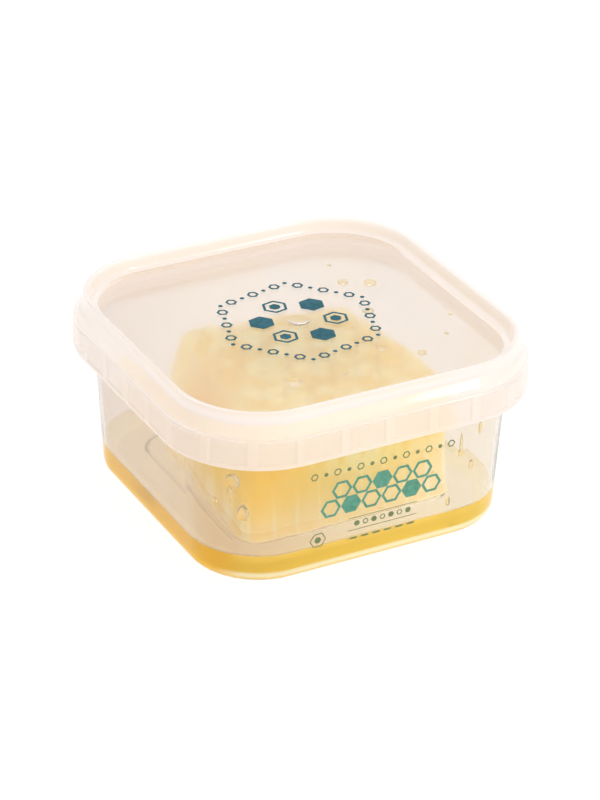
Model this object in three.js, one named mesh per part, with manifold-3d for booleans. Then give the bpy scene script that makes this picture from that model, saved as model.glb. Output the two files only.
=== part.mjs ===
// A piece of honeycomb in a shut clear tub: the tub, its press-fit lid, the cut block of comb
// and the honey that has run out of it into a pool on the floor.
// Millimetres, +Z up. The origin is the middle of the base, on the plane that the tub stands on.
// The comb stands nearer the -Y wall, which is the front, and leaves free space behind it.
import * as THREE from 'three';
import { mergeVertices } from 'three/addons/utils/BufferGeometryUtils.js';
import Module from 'manifold-3d';

const wasm = await Module();
wasm.setup();

// ---------------------------------------------------------------- driving dimensions

// the pack
const WIDTH = 82; // over the lid's skirt, the same along X and Y
const HEIGHT = 42; // over the lid's stacking rim
const LID_CORNER_CENTRE = 19.8; // from the middle to the centre of each rounded corner of the lid
const TUB_CORNER_CENTRE = 19.4; // the same on the tub
const CORNER_STEPS = 10; // facets round each corner of the pack
const GAP = 0.3; // clearance that touching pieces keep

// the tub
const WALL = 0.8; // thickness of the tub's wall
const FLOOR = 1.0; // thickness of its floor
const FOOT = 32.1; // half-width of the flat that it stands on
const FOOT_ROUND = 2.95; // radius of the rounded bottom edge
const DRAFT = 0.058; // how far the wall leans out for each millimetre of height
const PUSH_UP = 0.9; // how far the middle of the floor is raised
const PUSH_UP_HALF = 24.9; // half-width of that raised middle
const PUSH_UP_STEP = 0.8; // width of the step round it
const LIP_TOP = 38.2; // height of the tub's lip, inside the lid
const LIP_HALF = 38.9; // half-width over the lip
const LIP_HEIGHT = 2.6; // height of the lip's outer band
const LIP_WIDTH = 1.3; // width of the lip's flat top

// the lid
const SKIRT_BOTTOM = 30.33; // height of the skirt's lower edge
const SKIRT_TOP = 36.8; // height of the ledge over the ribbed band
const SHOULDER_HALF = 40.2; // half-width of the shoulder over that ledge
const RIM_HALF = 37.37; // half-width of the recess inside the stacking rim
const RIM_WIDTH = 1.28; // width of the rim's rounded top
const PANEL_TOP = 39.3; // height of the recessed flat panel
const LID_WALL = 0.8; // thickness of the lid
const RIB_COUNT = 29; // narrow ribs round the skirt
const RIB_WIDTH = 1.7;
const RIB_START = 0.9; // distance of the first rib from the middle of the -Y side, towards -X
const RECESS_DEPTH = 0.3; // how far the panels between the ribs are set back
const GATE_RADIUS = 2.4; // moulding mark in the middle of the panel
const GATE_HEIGHT = 0.25;

// the comb: the corners of its plan, front left, front right, back right and back left
const COMB_BASE = [[-24.8, -25.5], [25.0, -25.5], [21.5, 15.0], [-22.5, 19.0]];
const COMB_CROWN = [[-23.5, -24.6], [20.8, -24.6], [19.3, 12.8], [-19.6, 18.4]];
const COMB_TOP = 33.3; // height of the wax between the capped cells
const COMB_WAIST = 18.5; // above this the sides lean in towards the crown
const COMB_CORNER = 3.2; // radius of the comb's upright edges
const COMB_CORNER_STEPS = 4;
const COMB_SIDE_STEPS = 6;
const COMB_SWAY = 0.35; // how far its sides wander
const COMB_SETTLE = 0.45; // how far its top dips and rises
const CELL = 5.3; // width of a cell across its flats
const CELL_WALL = 0.55;
const CELL_ROW = CELL * Math.sqrt(3) / 2; // from one row of cells to the next
const CUT_DEPTH = 1.7; // how deep the opened cells are before the honey left in them
const MIDRIB = 17.6; // height of the wax sheet that both layers of cells stand on
const MIDRIB_HALF = 0.6;
const CAP_THICK = 1.1; // wax left over and under the opened cells
const CAP_RISE = 0.55; // least height of a capping over the wax round it
const CAP_RISE_MORE = 0.45; // what the highest cappings have on top of that
const CAP_ROOT = 0.3; // depth to which a capping is sunk in the wax round it
const CAP_GROOVE = 0.15; // least width of the groove between two cappings
const CAP_FLAT = 0.62; // least width of a capping's flat top, as a share of its cell
const CAP_FLAT_MORE = 0.16;
const CAP_MARGIN = 0.5; // cells nearer the edge than this have lost their capping
const CELL_END_MORE = 0.8; // how unevenly the opened cells end

// the honey
const HONEY_LEVEL = 6.4;
const HONEY_CLEARANCE = 0.55; // between the pool and the uneven comb

// ---------------------------------------------------------------- outlines and lofts

// Corners of a polygon, all moved inwards by a distance (the polygon runs anticlockwise).
function insetPolygon(corners, distance) {
  return corners.map((corner, i) => {
    const before = corners[(i + corners.length - 1) % corners.length];
    const after = corners[(i + 1) % corners.length];
    const inA = inwardNormal(before, corner);
    const inB = inwardNormal(corner, after);
    const share = distance / (1 + inA.dot(inB));
    return [corner[0] + (inA.x + inB.x) * share, corner[1] + (inA.y + inB.y) * share];
  });
}

function inwardNormal(from, to) {
  return new THREE.Vector2(from[1] - to[1], to[0] - from[0]).normalize();
}

// A closed outline: arcs of one radius round the given centres, joined by straight sides.
function roundedOutline(centres, radius, cornerSteps, sideSteps = 1) {
  const points = [];
  centres.forEach((centre, i) => {
    const before = centres[(i + centres.length - 1) % centres.length];
    const after = centres[(i + 1) % centres.length];
    const start = inwardNormal(before, centre).negate().angle();
    const turn = THREE.MathUtils.euclideanModulo(inwardNormal(centre, after).negate().angle() - start, 2 * Math.PI);
    for (let s = 0; s <= cornerSteps; s += 1) {
      const angle = start + turn * s / cornerSteps;
      points.push([centre[0] + radius * Math.cos(angle), centre[1] + radius * Math.sin(angle)]);
    }
    const last = points[points.length - 1];
    const out = inwardNormal(centre, after).negate();
    const next = [after[0] + radius * out.x, after[1] + radius * out.y];
    for (let s = 1; s < sideSteps; s += 1) {
      const t = s / sideSteps;
      points.push([last[0] + (next[0] - last[0]) * t, last[1] + (next[1] - last[1]) * t]);
    }
  });
  return points;
}

// A rounded square of the pack, whose corners keep one centre at every height.
function packRing(centre, halfWidth, z) {
  const centres = [[-centre, -centre], [centre, -centre], [centre, centre], [-centre, centre]];
  return roundedOutline(centres, halfWidth - centre, CORNER_STEPS).map(([x, y]) => [x, y, z]);
}

// Skin over rings that have the same number of points. An open loft gets a fan over each end,
// a closed one joins its last ring to its first.
function loft(rings, closed = false) {
  const count = rings[0].length;
  const points = rings.flat();
  const faces = [];
  const joins = closed ? rings.length : rings.length - 1;
  for (let r = 0; r < joins; r += 1) {
    const a = r * count;
    const b = ((r + 1) % rings.length) * count;
    for (let i = 0; i < count; i += 1) {
      const j = (i + 1) % count;
      faces.push(a + i, a + j, b + j, a + i, b + j, b + i);
    }
  }
  if (!closed) {
    for (const [ring, first, flip] of [[rings[0], 0, true], [rings[rings.length - 1], joins * count, false]]) {
      const hub = points.length;
      points.push([0, 1, 2].map((k) => ring.reduce((sum, p) => sum + p[k], 0) / count));
      for (let i = 0; i < count; i += 1) {
        const j = (i + 1) % count;
        faces.push(hub, first + (flip ? j : i), first + (flip ? i : j));
      }
    }
  }
  return outward(new Float32Array(points.flat()), new Uint32Array(faces));
}

// A geometry whose faces point out, whichever way round its rings ran.
function outward(positions, faces) {
  const [a, b, c] = [new THREE.Vector3(), new THREE.Vector3(), new THREE.Vector3()];
  let volume = 0;
  for (let i = 0; i < faces.length; i += 3) {
    a.fromArray(positions, 3 * faces[i]);
    b.fromArray(positions, 3 * faces[i + 1]);
    c.fromArray(positions, 3 * faces[i + 2]);
    volume += a.dot(b.cross(c));
  }
  if (volume < 0) {
    for (let i = 0; i < faces.length; i += 3) [faces[i + 1], faces[i + 2]] = [faces[i + 2], faces[i + 1]];
  }
  const geometry = new THREE.BufferGeometry();
  geometry.setAttribute('position', new THREE.BufferAttribute(positions, 3));
  geometry.setIndex(new THREE.BufferAttribute(faces, 1));
  return geometry;
}

// ---------------------------------------------------------------- joining and cutting

function solid(geometry) {
  const bare = geometry.clone();
  for (const name of Object.keys(bare.attributes)) {
    if (name !== 'position') bare.deleteAttribute(name);
  }
  const merged = mergeVertices(bare, 1e-5);
  return new wasm.Manifold(new wasm.Mesh({
    numProp: 3,
    vertProperties: new Float32Array(merged.attributes.position.array),
    triVerts: new Uint32Array(merged.index.array),
  }));
}

function geometryOf(body) {
  const mesh = body.getMesh();
  const geometry = new THREE.BufferGeometry();
  geometry.setAttribute('position', new THREE.BufferAttribute(new Float32Array(mesh.vertProperties), 3));
  geometry.setIndex(new THREE.BufferAttribute(new Uint32Array(mesh.triVerts), 1));
  return geometry;
}

const joined = (bodies) => bodies.reduce((all, body) => all.add(body));

// ---------------------------------------------------------------- the tub

const wallAt = (z) => FOOT + FOOT_ROUND + (z - FOOT_ROUND) * DRAFT; // outer half-width of the wall

// Profile of the floor and wall inside the tub, from the raised middle up to a height, set in
// from the plastic by a clearance.
function insideProfile(clearance, top) {
  const panel = PUSH_UP + FLOOR + clearance;
  const floor = FLOOR + clearance;
  const radius = FOOT_ROUND - WALL - clearance;
  const profile = [[PUSH_UP_HALF, panel], [PUSH_UP_HALF + PUSH_UP_STEP, floor]];
  for (let s = 0; s <= 4; s += 1) {
    const angle = s / 4 * Math.PI / 2;
    profile.push([FOOT + radius * Math.sin(angle), floor + radius * (1 - Math.cos(angle))]);
  }
  profile.push([wallAt(top) - WALL - clearance, top]);
  return profile;
}

function makeTub() {
  const shelf = LIP_TOP - LIP_HEIGHT; // where the lip stands out from the wall
  const outside = [[PUSH_UP_HALF, PUSH_UP], [PUSH_UP_HALF + PUSH_UP_STEP, 0]];
  for (let s = 0; s <= 5; s += 1) {
    const angle = s / 5 * Math.PI / 2;
    outside.push([FOOT + FOOT_ROUND * Math.sin(angle), FOOT_ROUND * (1 - Math.cos(angle))]);
  }
  outside.push([wallAt(shelf - 0.6), shelf - 0.6]);
  const lip = [
    [LIP_HALF - 0.3, shelf], [LIP_HALF, shelf + 0.5], [LIP_HALF, LIP_TOP - 0.3], [LIP_HALF - 0.3, LIP_TOP],
    [LIP_HALF - LIP_WIDTH + 0.3, LIP_TOP], [LIP_HALF - LIP_WIDTH, LIP_TOP - 0.4],
    [LIP_HALF - LIP_WIDTH - 0.2, shelf + 0.7],
  ];
  const inside = insideProfile(0, shelf - 0.3).reverse();
  return loft([...outside, ...lip, ...inside].map(([half, z]) => packRing(TUB_CORNER_CENTRE, half, z)));
}

// ---------------------------------------------------------------- the lid

function lidProfile() {
  const half = WIDTH / 2;
  const rimOut = RIM_HALF + RIM_WIDTH;
  const outside = [
    [RIM_HALF - 1.1, PANEL_TOP], [RIM_HALF - 0.45, PANEL_TOP + 0.15], [RIM_HALF - 0.2, PANEL_TOP + 0.6],
    [RIM_HALF, HEIGHT - 0.4], [RIM_HALF + 0.45, HEIGHT], [rimOut - 0.45, HEIGHT], [rimOut, HEIGHT - 0.45],
    [rimOut + 0.2, HEIGHT - 1.5], [rimOut + 0.6, PANEL_TOP], [SHOULDER_HALF - 0.4, PANEL_TOP - 1.0],
    [SHOULDER_HALF, SKIRT_TOP + 0.5], [SHOULDER_HALF + 0.1, SKIRT_TOP + 0.1], [half - 0.25, SKIRT_TOP],
    [half - 0.1, SKIRT_TOP - 0.3], [half, SKIRT_BOTTOM + 0.3], [half - 0.1, SKIRT_BOTTOM],
  ];
  const inner = half - LID_WALL;
  const bead = LIP_HALF - 0.15; // the bead that grips under the tub's lip
  const shelf = LIP_TOP - LIP_HEIGHT;
  const inside = [
    [inner + 0.1, SKIRT_BOTTOM], [inner, SKIRT_BOTTOM + 0.3], [inner - 0.1, shelf - 2.2],
    [bead, shelf - 1.2], [bead, shelf - 0.8], [inner - 0.2, shelf - 0.3], [inner - 0.25, SKIRT_TOP - 0.7],
    [LIP_HALF + 0.6, SKIRT_TOP], [LIP_HALF + 0.45, LIP_TOP - 0.3], [LIP_HALF + 0.1, LIP_TOP + 0.45],
    [rimOut - 0.1, PANEL_TOP + 0.3], [rimOut - 0.4, HEIGHT - 1.2], [rimOut - 0.75, HEIGHT - 1.2],
    [RIM_HALF + 0.4, PANEL_TOP], [RIM_HALF, PANEL_TOP - LID_WALL + 0.1], [RIM_HALF - 1.1, PANEL_TOP - LID_WALL],
  ];
  return [...outside, ...inside];
}

// A point of the skirt's outline at a distance along it from the middle of the -Y side, going
// towards -X, with the direction that the skirt faces there.
function alongSkirt(distance) {
  const centre = LID_CORNER_CENTRE;
  const radius = WIDTH / 2 - centre;
  const quarter = 2 * centre + radius * Math.PI / 2;
  const side = Math.floor((distance + centre) / quarter);
  const along = distance + centre - side * quarter; // from the start of this side's straight part
  let [x, y, facing] = [centre - along, -centre - radius, 0];
  if (along > 2 * centre) {
    facing = (along - 2 * centre) / radius;
    x = -centre - radius * Math.sin(facing);
    y = -centre - radius * Math.cos(facing);
  }
  const turned = new THREE.Vector2(x, y).rotateAround(new THREE.Vector2(), -side * Math.PI / 2);
  return { x: turned.x, y: turned.y, angle: -facing - side * Math.PI / 2, quarter };
}

function makeLid() {
  const ring = (half, z) => packRing(LID_CORNER_CENTRE, half, z);
  const shell = solid(loft(lidProfile().map(([half, z]) => ring(half, z))));
  const recessInner = WIDTH / 2 - 0.1 - RECESS_DEPTH;
  const recessTop = SKIRT_TOP - 0.45;
  const recessBottom = SKIRT_BOTTOM + 0.75;
  const band = solid(loft([
    ring(recessInner, recessBottom), ring(recessInner + 2, recessBottom),
    ring(recessInner + 2, recessTop), ring(recessInner, recessTop),
  ], true));
  const pitch = 4 * alongSkirt(0).quarter / RIB_COUNT;
  const ribs = [];
  for (let i = 0; i < RIB_COUNT; i += 1) {
    const place = alongSkirt(RIB_START + i * pitch);
    const rib = new THREE.BoxGeometry(RIB_WIDTH, 6, 2 * HEIGHT);
    rib.rotateZ(place.angle);
    rib.translate(place.x, place.y, 0);
    ribs.push(solid(rib));
  }
  const gate = new THREE.CylinderGeometry(GATE_RADIUS, GATE_RADIUS + 0.15, GATE_HEIGHT + 0.3, 24);
  gate.rotateX(Math.PI / 2);
  gate.translate(0, 0, PANEL_TOP + (GATE_HEIGHT - 0.3) / 2);
  return geometryOf(shell.subtract(band.subtract(joined(ribs))).add(solid(gate)));
}

// ---------------------------------------------------------------- the comb

// Comb is never quite true: its sides wander and its top settles, in long smooth waves.
function settle([x, y, z]) {
  const height = THREE.MathUtils.smoothstep(z, 0.6 * COMB_TOP, COMB_TOP);
  return [
    x + COMB_SWAY * Math.sin(0.17 * y + 0.11 * z + 0.4),
    y + COMB_SWAY * Math.sin(0.15 * x - 0.13 * z + 2.1),
    z + height * COMB_SETTLE * (Math.sin(0.16 * x + 1.1) + Math.cos(0.19 * y + 0.08 * x) - 0.6),
  ];
}

function settled(geometry) {
  const position = geometry.attributes.position;
  for (let i = 0; i < position.count; i += 1) {
    const point = [position.getX(i), position.getY(i), position.getZ(i)];
    position.setXYZ(i, ...settle(point));
  }
  return geometry;
}

// The comb's plan at a height: the base up to the waist, then leaning in to the crown.
function combPlan(z) {
  const lean = THREE.MathUtils.smoothstep(z, COMB_WAIST, COMB_TOP + 3);
  return COMB_BASE.map((corner, i) => corner.map((value, k) => value + (COMB_CROWN[i][k] - value) * lean));
}

function combRing(z, inset) {
  const centres = insetPolygon(combPlan(z), inset + COMB_CORNER);
  return roundedOutline(centres, COMB_CORNER, COMB_CORNER_STEPS, COMB_SIDE_STEPS).map(([x, y]) => [x, y, z]);
}

function combBlock(bottom, inset) {
  const levels = [[bottom, 0.5], [bottom + 0.8, 0]];
  for (const share of [0.3, 0.55, 0.7, 0.85]) levels.push([bottom + (COMB_TOP - bottom) * share, 0]);
  levels.push([COMB_TOP - 0.9, 0.15], [COMB_TOP - 0.3, 0.5], [COMB_TOP, 1.0]);
  return loft(levels.map(([z, edge]) => combRing(z, inset + edge)));
}

// How far inside a convex plan a point lies; negative outside it.
function depthInside(plan, x, y) {
  return Math.min(...plan.map((corner, i) => {
    const inward = inwardNormal(corner, plan[(i + 1) % plan.length]);
    return inward.x * (x - corner[0]) + inward.y * (y - corner[1]);
  }));
}

// A fixed uneven value from 0 to 1 for each cell.
function uneven(column, row, salt) {
  const wave = Math.sin(column * 12.9898 + row * 78.233 + salt * 37.719) * 43758.5453;
  return wave - Math.floor(wave);
}

// Every cell that may touch the comb, in rows along X. The two layers stand back to back, and
// one is shifted so that each cell's floor is shared by three behind it.
function cells(shiftX, shiftY) {
  const list = [];
  const reach = Math.ceil(WIDTH / 2 / CELL_ROW);
  for (let row = -reach; row <= reach; row += 1) {
    for (let column = -reach; column <= reach; column += 1) {
      const odd = THREE.MathUtils.euclideanModulo(row, 2) / 2;
      list.push({ column, row, x: (column + odd) * CELL + shiftX, y: row * CELL_ROW + shiftY });
    }
  }
  return list;
}

function hexagon(acrossBottom, acrossTop, height) {
  const toCorner = 1 / Math.sqrt(3);
  const prism = new THREE.CylinderGeometry(acrossTop * toCorner, acrossBottom * toCorner, height, 6);
  prism.rotateX(Math.PI / 2);
  return prism;
}

// Hollows of the cells that the knife has opened, between two heights: each is an upright
// prism less the heart of the comb, and counts only where it breaks out of the block's side.
function openedCells(list, block, heart, low, high, salt) {
  const opened = [];
  const base = combPlan(0);
  const crown = combPlan(COMB_TOP);
  for (const { column, row, x, y } of list) {
    const near = depthInside(base, x, y) > -CELL / 3 && depthInside(crown, x, y) < CELL / 2;
    if (!near) continue;
    const bottom = low + CELL_END_MORE * uneven(column, row, salt);
    const top = high - CELL_END_MORE * uneven(column, row, salt + 1);
    const across = CELL - CELL_WALL;
    const prism = hexagon(across, across, top - bottom);
    prism.translate(x, y, (top + bottom) / 2);
    const hollow = solid(prism).subtract(heart);
    if (!hollow.subtract(block).isEmpty()) opened.push(hollow);
  }
  return opened;
}

function cappings(list) {
  const capped = [];
  const crown = combPlan(COMB_TOP);
  for (const { column, row, x, y } of list) {
    if (depthInside(crown, x, y) < CELL / 2 + CAP_MARGIN) continue;
    const rise = CAP_RISE + CAP_RISE_MORE * uneven(column, row, 5);
    const flat = CELL * (CAP_FLAT + CAP_FLAT_MORE * uneven(column, row, 6));
    const cap = hexagon(CELL - CAP_GROOVE, flat, rise + CAP_ROOT);
    cap.translate(x, y, COMB_TOP + (rise - CAP_ROOT) / 2);
    capped.push(solid(cap));
  }
  return capped;
}

function makeComb() {
  const bottom = PUSH_UP + FLOOR + GAP;
  const upper = cells(0, 0);
  const lower = cells(0, CELL_ROW * 2 / 3);
  const block = solid(combBlock(bottom, 0));
  const heart = solid(combBlock(bottom, CUT_DEPTH));
  const opened = [
    ...openedCells(upper, block, heart, MIDRIB + MIDRIB_HALF, COMB_TOP - CAP_THICK, 1),
    ...openedCells(lower, block, heart, bottom + CAP_THICK, MIDRIB - MIDRIB_HALF, 3),
  ];
  return settled(geometryOf(block.subtract(joined(opened)).add(joined(cappings(upper)))));
}

// ---------------------------------------------------------------- the honey

function makeHoney() {
  const pool = solid(loft(insideProfile(GAP, HONEY_LEVEL).map(([half, z]) => packRing(TUB_CORNER_CENTRE, half, z))));
  const heights = [-1, 1, 3, 5, HONEY_LEVEL, HONEY_LEVEL + 2];
  const well = settled(loft(heights.map((z) => combRing(z, -HONEY_CLEARANCE))));
  return geometryOf(pool.subtract(solid(well)));
}

// ---------------------------------------------------------------- the pieces

const clearPlastic = new THREE.MeshStandardMaterial({
  color: 0xf2e8e0, roughness: 0.2, metalness: 0, transparent: true, opacity: 0.25,
});
const milkyPlastic = new THREE.MeshStandardMaterial({
  color: 0xf7ebe3, roughness: 0.3, metalness: 0, transparent: true, opacity: 0.5,
});
const wax = new THREE.MeshStandardMaterial({ color: 0xf0cd7c, roughness: 0.45, metalness: 0 });
const amber = new THREE.MeshStandardMaterial({ color: 0xe6a830, roughness: 0.08, metalness: 0 });

const pack = new THREE.Group();
const pieces = [
  ['tub', makeTub(), clearPlastic],
  ['lid', makeLid(), milkyPlastic],
  ['comb', makeComb(), wax],
  ['honey', makeHoney(), amber],
];
for (const [name, geometry, material] of pieces) {
  const mesh = new THREE.Mesh(geometry, material);
  mesh.name = name;
  pack.add(mesh);
}

export default pack;
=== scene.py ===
# %% [markdown]
# # A piece of honeycomb in its tub
# A square of capped comb is cut from the frame and set in a small clear tub. Honey runs out of
# the opened cells and settles into a pool on the floor, and a milky lid presses on over it all.
# The fixed frame holds the true sizes. Each step below makes one finer piece for one solid of
# the frame, then gives it a finish. Lengths are written in millimetres and made metres once.

import math

import bmesh
import bpy
from mathutils import Matrix, Vector, noise
from mathutils.bvhtree import BVHTree
from mathutils.kdtree import KDTree


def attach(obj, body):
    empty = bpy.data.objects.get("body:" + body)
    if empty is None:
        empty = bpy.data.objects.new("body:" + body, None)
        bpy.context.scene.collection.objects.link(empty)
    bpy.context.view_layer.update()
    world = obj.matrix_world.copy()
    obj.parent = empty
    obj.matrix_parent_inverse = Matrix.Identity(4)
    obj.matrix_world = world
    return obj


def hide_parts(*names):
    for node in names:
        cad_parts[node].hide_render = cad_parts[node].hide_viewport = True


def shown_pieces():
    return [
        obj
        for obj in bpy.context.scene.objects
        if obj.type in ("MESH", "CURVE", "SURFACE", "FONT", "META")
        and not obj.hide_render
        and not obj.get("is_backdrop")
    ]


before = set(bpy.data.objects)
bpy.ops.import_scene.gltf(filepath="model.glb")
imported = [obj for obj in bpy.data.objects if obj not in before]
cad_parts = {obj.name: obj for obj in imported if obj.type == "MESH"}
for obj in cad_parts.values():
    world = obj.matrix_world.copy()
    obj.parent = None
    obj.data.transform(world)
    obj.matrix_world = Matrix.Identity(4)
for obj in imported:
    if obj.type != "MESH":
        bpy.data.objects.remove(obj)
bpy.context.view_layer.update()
MM = 0.001

# %% [markdown]
# ## The view
# The camera looks down on one corner of the pack, so that the lid, the front wall on the right
# and the side wall on the left all show. A long lens keeps the upright edges nearly parallel,
# which suits a small thing. Its place is an angle round the pack, an angle above the table and
# a distance, which is easier to think about than three coordinates.

# %% Camera
AZIMUTH, ELEVATION, ROLL = (math.radians(a) for a in (-28.451, 28.709, 1.045))
DISTANCE, AIM_HEIGHT = 0.65855, 0.01941
SLIDE_RIGHT, SLIDE_UP = 0.000597, 0.000752
SENSOR, LENS = 24.0, 92.94

back = Vector((
    math.sin(AZIMUTH) * math.cos(ELEVATION),
    -math.cos(AZIMUTH) * math.cos(ELEVATION),
    math.sin(ELEVATION),
))
level = Vector((math.cos(AZIMUTH), math.sin(AZIMUTH), 0))
upright = back.cross(level)
right = level * math.cos(ROLL) + upright * math.sin(ROLL)
up = upright * math.cos(ROLL) - level * math.sin(ROLL)

camera = bpy.data.objects.new("camera", bpy.data.cameras.new("camera"))
bpy.context.scene.collection.objects.link(camera)
bpy.context.scene.camera = camera
camera.data.sensor_fit = "VERTICAL"
camera.data.sensor_height = camera.data.sensor_width = SENSOR
camera.data.lens = LENS
camera.data.clip_start, camera.data.clip_end = 0.05, 20
place = Vector((0, 0, AIM_HEIGHT)) + back * DISTANCE + right * SLIDE_RIGHT + up * SLIDE_UP
turn = Matrix((right, up, back)).transposed().to_4x4()
camera.matrix_world = Matrix.Translation(place) @ turn
print("camera at", [round(v, 3) for v in place])

# %% [markdown]
# ## Light and floor
# Clear plastic has hardly any colour of its own. What is seen in it is what stands round it, so
# the surroundings are made first: a bright white tent, a little brighter on the right, and a
# pale floor that glows from below, as a lit table does. Three lamps add what a tent can't: a
# strip draws the long highlight along the near rim, a narrow one high up behind the pack draws
# a fine line along the far rim, and a small one puts a spark on each drop. A plain world with
# a gradient costs no noise in clear pieces, because every ray that leaves them finds light.

# %% Tent, lamps and floor
bpy.context.scene.view_settings.view_transform = "Standard"


def node(tree, kind, **values):
    """Adds a shader node and sets its properties and plain inputs by name."""
    made = tree.nodes.new(kind)
    for name, value in values.items():
        if hasattr(made, name):
            setattr(made, name, value)
        else:
            made.inputs[name.replace("_", " ")].default_value = value
    return made


TENT_COLOUR = (1.0, 0.985, 0.965, 1)
TENT_DIM, TENT_BRIGHT = 0.93, 1.07
TENT_SIDE = Vector((0.45, -0.85, 0.20)).normalized()

world = bpy.data.worlds.new("tent")
bpy.context.scene.world = world
world.use_nodes = True
tree = world.node_tree
tent = tree.nodes["Background"]
tent.inputs["Color"].default_value = TENT_COLOUR
looking = node(tree, "ShaderNodeTexCoord")
side = node(tree, "ShaderNodeVectorMath", operation="DOT_PRODUCT")
side.inputs[1].default_value = TENT_SIDE
spread = node(
    tree, "ShaderNodeMapRange",
    From_Min=-1.0, From_Max=1.0, To_Min=TENT_DIM, To_Max=TENT_BRIGHT,
)
tree.links.new(looking.outputs["Generated"], side.inputs[0])
tree.links.new(side.outputs["Value"], spread.inputs["Value"])
tree.links.new(spread.outputs["Result"], tent.inputs["Strength"])

# Each lamp has a place, a width and a height in metres, and a power in watts.
LAMPS = (
    ("strip_lamp", (0.385, -0.66, 0.40), 0.10, 0.45, 0.9),
    ("back_lamp", (0.22, 0.405, 0.60), 0.50, 0.05, 0.22),
    ("spark_lamp", (0.12, -0.62, 0.55), 0.03, 0.03, 0.10),
)
LAMP_AIM = Vector((0, 0, 0.03))

for name, where, width, height, power in LAMPS:
    light = bpy.data.lights.new(name, "AREA")
    light.shape = "RECTANGLE"
    light.size, light.size_y, light.energy = width, height, power
    lamp = bpy.data.objects.new(name, light)
    bpy.context.scene.collection.objects.link(lamp)
    lamp.location = where
    lamp.rotation_euler = (LAMP_AIM - Vector(where)).to_track_quat("-Z", "Y").to_euler()

FLOOR_HALF, FLOOR_DROP = 3.0, 0.0002
FLOOR_COLOUR, FLOOR_GLOW = (0.18, 0.178, 0.175, 1), 0.88

bm = bmesh.new()
bmesh.ops.create_grid(bm, x_segments=1, y_segments=1, size=FLOOR_HALF)
bmesh.ops.translate(bm, verts=bm.verts, vec=(0, 0, -FLOOR_DROP))
mesh = bpy.data.meshes.new("floor")
bm.to_mesh(mesh)
bm.free()
floor = bpy.data.objects.new("floor", mesh)
bpy.context.scene.collection.objects.link(floor)
floor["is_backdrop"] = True
paper = bpy.data.materials.new("pale_floor")
paper.use_nodes = True
shader = paper.node_tree.nodes["Principled BSDF"]
shader.inputs["Base Color"].default_value = FLOOR_COLOUR
shader.inputs["Roughness"].default_value = 0.9
shader.inputs["Emission Color"].default_value = TENT_COLOUR
shader.inputs["Emission Strength"].default_value = FLOOR_GLOW
mesh.materials.append(paper)
print("floor", FLOOR_HALF * 2, "m square")

# %% [markdown]
# ## Sweeping a rounded square
# The tub, the lid and the pool have one plan: a square with round corners, whose corner centres
# stay fixed while the outline grows with height. Such a form is a single profile carried round
# that plan. It could be a cube with its edges bevelled, but then the wall's thickness, the lip
# and the rim would each need a tool of their own. Here the profile is drawn once, as a line of
# points, and extruded: slid along each side and turned about each corner. What is left open in
# the middle of the floor and the lid is filled at the end.

# %% Sweep tool
SIDES = 4
CORNER_STEPS = 18
SEAM_GAP = 1e-7
SOFT_ANGLE, SOFT_SEGMENTS = 25.0, 3


def swept(profile, centre, runs):
    """Carries a line of (half-width, height) points, in mm, round the rounded square.

    runs gives, for each side, the lengths in mm to slide and then the angles to turn.
    Returns the bmesh and the faces made by each slide or turn."""
    bm = bmesh.new()
    front = [bm.verts.new((centre * MM, -half * MM, height * MM)) for half, height in profile]
    line = [bm.edges.new(pair) for pair in zip(front, front[1:])]
    strips = []
    for number, (slides, turns) in enumerate(runs):
        quarter = Matrix.Rotation(-number * math.pi / 2, 3, "Z")
        heading = quarter @ Vector((-1, 0, 0))
        corner = quarter @ Vector((-centre, -centre, 0)) * MM
        for amount, turning in [(s, False) for s in slides] + [(t, True) for t in turns]:
            grown = bmesh.ops.extrude_edge_only(bm, edges=line)["geom"]
            fresh = {g for g in grown if isinstance(g, bmesh.types.BMVert)}
            strips.append([g for g in grown if isinstance(g, bmesh.types.BMFace)])
            line = [
                g for g in grown
                if isinstance(g, bmesh.types.BMEdge) and all(v in fresh for v in g.verts)
            ]
            if turning:
                about = Matrix.Rotation(-amount, 3, "Z")
                bmesh.ops.rotate(bm, verts=list(fresh), cent=corner, matrix=about)
            else:
                bmesh.ops.translate(bm, verts=list(fresh), vec=heading * amount * MM)
    bmesh.ops.remove_doubles(bm, verts=bm.verts, dist=SEAM_GAP)
    return bm, strips


def half_width(x, y, centre):
    """How far out a point lies on the rounded square, as a half-width."""
    x, y = abs(x), abs(y)
    if x > centre and y > centre:
        return centre + math.hypot(x - centre, y - centre)
    return max(x, y)


def even_runs(centre):
    """One slide along each side and equal turns round each corner."""
    return [([2 * centre], [math.pi / 2 / CORNER_STEPS] * CORNER_STEPS)] * SIDES


def closed(bm):
    """Fills what is open and turns every face outwards."""
    bmesh.ops.holes_fill(bm, edges=[e for e in bm.edges if e.is_boundary], sides=0)
    bmesh.ops.recalc_face_normals(bm, faces=bm.faces)


def piece(name, bm, *materials):
    """Makes a smooth-shaded object of a bmesh, riding on the pack."""
    mesh = bpy.data.meshes.new(name)
    bm.to_mesh(mesh)
    bm.free()
    mesh.shade_smooth()
    made = bpy.data.objects.new(name, mesh)
    bpy.context.scene.collection.objects.link(made)
    for finish in materials:
        mesh.materials.append(finish)
    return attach(made, "root")


def softened(made, width):
    """Rounds a moulded piece's corners by a small bevel that keeps the flats flat."""
    bevel = made.modifiers.new("soft_edges", "BEVEL")
    bevel.width = width * MM
    bevel.segments = SOFT_SEGMENTS
    bevel.limit_method = "ANGLE"
    bevel.angle_limit = math.radians(SOFT_ANGLE)
    bevel.harden_normals = True
    return made


def foot_arc(centre_half, centre_height, radius, steps):
    """Points of a quarter circle in a profile, from its lowest point to its outermost."""
    angles = [math.radians(90 * s / steps) for s in range(steps + 1)]
    return [
        (centre_half + radius * math.sin(a), centre_height - radius * math.cos(a))
        for a in angles
    ]


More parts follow.
